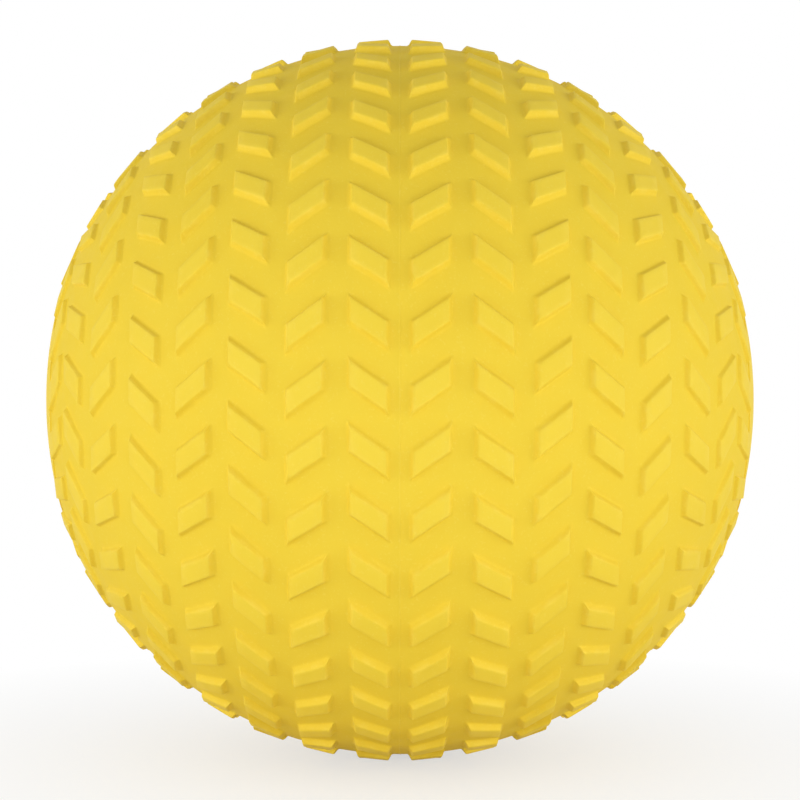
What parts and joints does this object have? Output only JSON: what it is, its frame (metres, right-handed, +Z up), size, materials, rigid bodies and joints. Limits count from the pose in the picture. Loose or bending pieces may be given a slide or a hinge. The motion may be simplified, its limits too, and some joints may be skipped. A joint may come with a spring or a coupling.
{
  "type": "medicine ball",
  "caption": "Weighted ball with a thick soft shell, tyre-like rings of slanted tread blocks, smooth poles, a plugged fill hole with a needle valve, and loose sand inside.",
  "frame": {"origin": "centre of the ball, which is the middle of its bounding box", "axes": "+X from the centre out through the plugged pole, along the axis that the tread rings go round; -Y towards the viewer; +Z up, with the sand settled at the bottom"},
  "size_m": [0.2252, 0.2304, 0.2302],
  "materials": {
    "shell_vinyl": "matte",
    "plug_vinyl": "matte",
    "valve_rubber": "matte",
    "dry_sand": "matte"
  },
  "bodies": {
    "root": {"tread_shell": "shell_vinyl", "fill_plug": "plug_vinyl", "needle_valve": "valve_rubber", "sand_fill": "dry_sand"}
  },
  "joints": []
}
